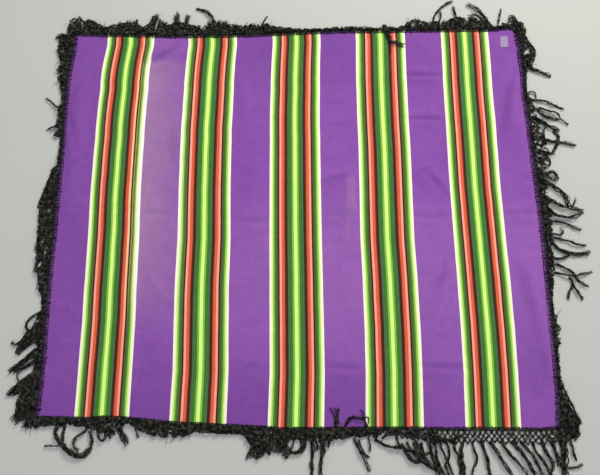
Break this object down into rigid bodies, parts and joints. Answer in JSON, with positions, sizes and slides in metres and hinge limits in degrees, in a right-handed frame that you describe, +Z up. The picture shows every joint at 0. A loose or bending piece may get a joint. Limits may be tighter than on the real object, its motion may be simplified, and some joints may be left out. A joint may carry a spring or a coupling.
{
  "type": "fringed shawl",
  "caption": "Striped woven shawl lying flat, with a small blank label and a black knotted fringe along all sides.",
  "frame": {"origin": "the middle of the cloth, on the surface that it lies on", "axes": "+X across the stripes to the right as seen from the front, +Y along the stripes to the back, +Z up out of the cloth"},
  "size_m": [1.497, 1.3164, 0.0071],
  "materials": {
    "striped_cloth": "soft matte plain weave, purple with lengthwise shaded stripes",
    "black_yarn": "matte plied black yarn",
    "label_tape": "smooth pale woven tape"
  },
  "bodies": {
    "root": {"shawl_panel": "striped_cloth", "fringe_front": "black_yarn", "fringe_back": "black_yarn", "fringe_left": "black_yarn", "fringe_right": "black_yarn", "label": "label_tape"}
  },
  "joints": []
}
